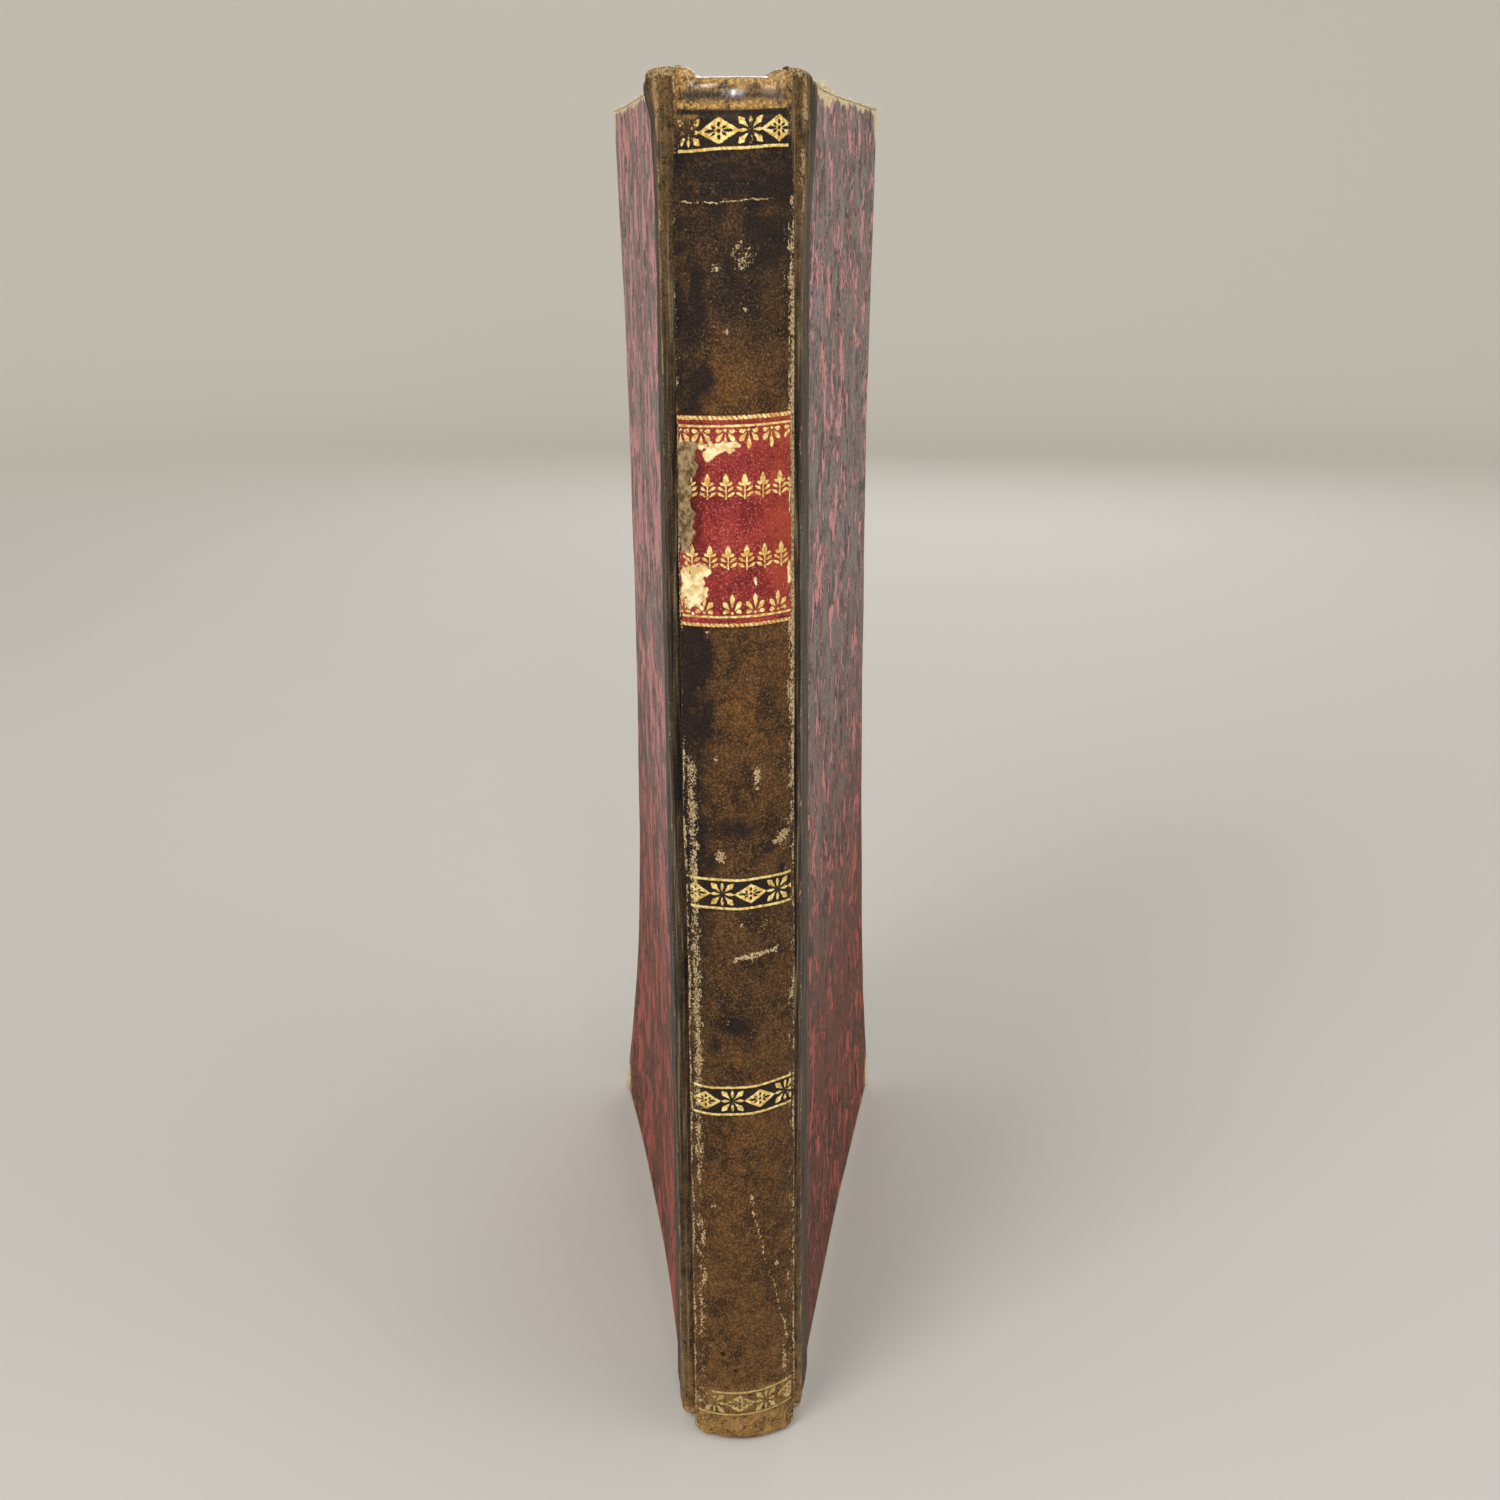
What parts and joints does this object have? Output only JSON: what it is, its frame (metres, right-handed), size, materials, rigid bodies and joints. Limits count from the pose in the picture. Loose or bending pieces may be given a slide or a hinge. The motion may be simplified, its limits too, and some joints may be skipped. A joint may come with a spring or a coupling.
{
  "type": "antique quarter-leather book",
  "caption": "Hand-sewn antique book standing on its tail, with a gilt-tooled leather spine, red label and hinged paper-covered boards.",
  "frame": {"origin": "middle of the footprint's bounding box, on the surface that the covers' tail edges stand on", "axes": "+Z from tail to head, +Y from the spine to the fore-edge, +X towards the front cover"},
  "size_m": [0.0536, 0.1296, 0.206],
  "materials": {
    "leaves": "aged rag paper, edges trimmed and toned",
    "endpaper": "cream laid paper with light foxing",
    "lining_paper": "waste paper glued to the spine",
    "linen_thread": "unbleached linen sewing thread",
    "hemp_cord": "twisted hemp cord",
    "endband_silk": "silk wound over a cord core",
    "card": "grey-brown card",
    "pasteboard": "grey-brown pasteboard",
    "patterned_paper": "dark paper veined in pink, rubbed at the edges",
    "calf_leather": "dark brown mottled calf, glazed and scuffed",
    "label_leather": "crimson leather, flaked at the left",
    "gold_leaf": "rubbed gold leaf"
  },
  "bodies": {
    "book_block": {"text_block": "leaves", "front_flyleaf": "endpaper", "back_flyleaf": "endpaper", "spine_lining": "lining_paper", "sewing_thread": "linen_thread", "head_endband_core": "hemp_cord", "head_endband_silk": "endband_silk", "tail_endband_core": "hemp_cord", "tail_endband_silk": "endband_silk", "spine_card": "card", "spine_leather": "calf_leather", "title_label": "label_leather", "spine_gilding": "gold_leaf", "label_gilding": "gold_leaf", "sewing_cord_1": "hemp_cord", "sewing_cord_2": "hemp_cord", "sewing_cord_3": "hemp_cord", "sewing_cord_4": "hemp_cord"},
    "front_cover": {"front_board": "pasteboard", "front_side_paper": "patterned_paper", "front_side_leather": "calf_leather", "front_infill": "card", "front_pastedown": "endpaper", "front_cord_slip_1": "hemp_cord", "front_cord_slip_2": "hemp_cord", "front_cord_slip_3": "hemp_cord", "front_cord_slip_4": "hemp_cord"},
    "back_cover": {"back_board": "pasteboard", "back_side_paper": "patterned_paper", "back_side_leather": "calf_leather", "back_infill": "card", "back_pastedown": "endpaper", "back_cord_slip_1": "hemp_cord", "back_cord_slip_2": "hemp_cord", "back_cord_slip_3": "hemp_cord", "back_cord_slip_4": "hemp_cord"}
  },
  "joints": [
    {"name": "front_cover_hinge", "type": "hinge", "parent": "book_block", "child": "front_cover", "pos_m": [-0.00254, -0.05523, 0.1025], "axis": [0, 0, -1], "range_deg": [-12.5, 152.5]},
    {"name": "back_cover_hinge", "type": "hinge", "parent": "book_block", "child": "back_cover", "pos_m": [-0.01844, -0.05523, 0.1025], "axis": [0, 0, 1], "range_deg": [-1.3, 163.7]}
  ]
}
